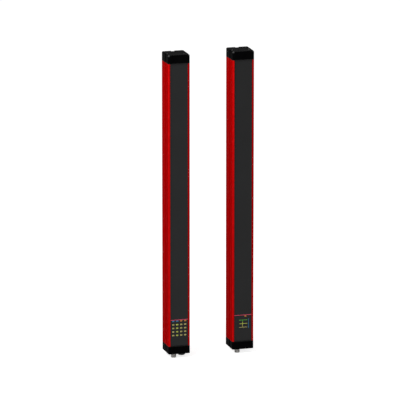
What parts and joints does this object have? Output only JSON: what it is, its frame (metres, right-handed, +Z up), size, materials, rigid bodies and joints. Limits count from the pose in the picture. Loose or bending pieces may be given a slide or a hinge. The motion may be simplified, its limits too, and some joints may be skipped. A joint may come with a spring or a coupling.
{
  "type": "safety light curtain",
  "caption": "Pair of upright bars, a receiver and a transmitter, each a red extruded housing with a dark front window, black end caps and a round plug at its foot.",
  "frame": {"origin": "midway between the two bars, at the level of the tips of their plugs, in the middle of their depth", "axes": "+Z up along the bars; -Y the way both windows face; +X from the receiver to the transmitter"},
  "size_m": [0.204, 0.055, 0.7096],
  "materials": {
    "red_housing": "satin red coating on an aluminium extrusion",
    "window": "dark smoked, smooth",
    "rubber": "matt black",
    "cap_plastic": "fine moulded grain",
    "screw_steel": "blackened",
    "plug_metal": "bright nickel plate",
    "insert_plastic": "black insulating plastic",
    "contact_gold": "gold plated",
    "board": "green solder mask",
    "carrier_plastic": "black moulded",
    "lens_plastic": "clear moulded",
    "chip": "black chip bodies",
    "spacer_plastic": "natural nylon",
    "ribbon": "grey flat cable",
    "spring_steel": "bright spring steel",
    "status_light": "clear chip lights",
    "film": "printed film, dark ground",
    "ink": "pale fields of plain colour"
  },
  "bodies": {
    "root": {"receiver_housing": "red_housing", "receiver_front_window": "window", "receiver_window_seals": "rubber", "receiver_top_cap": "cap_plastic", "receiver_bottom_cap": "cap_plastic", "receiver_end_gaskets": "rubber", "receiver_cap_screws": "screw_steel", "receiver_plug_shell": "plug_metal", "receiver_plug_insert": "insert_plastic", "receiver_plug_pins": "contact_gold", "receiver_seal_rings": "rubber", "receiver_clamp_rings": "plug_metal", "receiver_plug_board": "board", "receiver_optics_board": "board", "receiver_lens_carrier": "carrier_plastic", "receiver_lens_strip": "lens_plastic", "receiver_control_board": "board", "receiver_control_chips": "chip", "receiver_board_spacers": "spacer_plastic", "receiver_ribbon_cable": "ribbon", "receiver_earth_spring": "spring_steel", "receiver_light_mask": "carrier_plastic", "receiver_light_pipes": "lens_plastic", "receiver_status_lights": "status_light", "receiver_display_film": "film", "receiver_display_fields": "ink", "receiver_detectors": "chip", "receiver_socket_shell": "plug_metal", "receiver_socket_insert": "insert_plastic", "receiver_socket_contacts": "contact_gold", "receiver_blank_plug": "cap_plastic", "transmitter_housing": "red_housing", "transmitter_front_window": "window", "transmitter_window_seals": "rubber", "transmitter_top_cap": "cap_plastic", "transmitter_bottom_cap": "cap_plastic", "transmitter_end_gaskets": "rubber", "transmitter_cap_screws": "screw_steel", "transmitter_plug_shell": "plug_metal", "transmitter_plug_insert": "insert_plastic", "transmitter_plug_pins": "contact_gold", "transmitter_seal_rings": "rubber", "transmitter_clamp_rings": "plug_metal", "transmitter_plug_board": "board", "transmitter_optics_board": "board", "transmitter_lens_carrier": "carrier_plastic", "transmitter_lens_strip": "lens_plastic", "transmitter_control_board": "board", "transmitter_control_chips": "chip", "transmitter_board_spacers": "spacer_plastic", "transmitter_ribbon_cable": "ribbon", "transmitter_earth_spring": "spring_steel", "transmitter_light_mask": "carrier_plastic", "transmitter_light_pipes": "lens_plastic", "transmitter_status_lights": "status_light", "transmitter_display_film": "film", "transmitter_display_fields": "ink", "transmitter_emitters": "chip"}
  },
  "joints": []
}
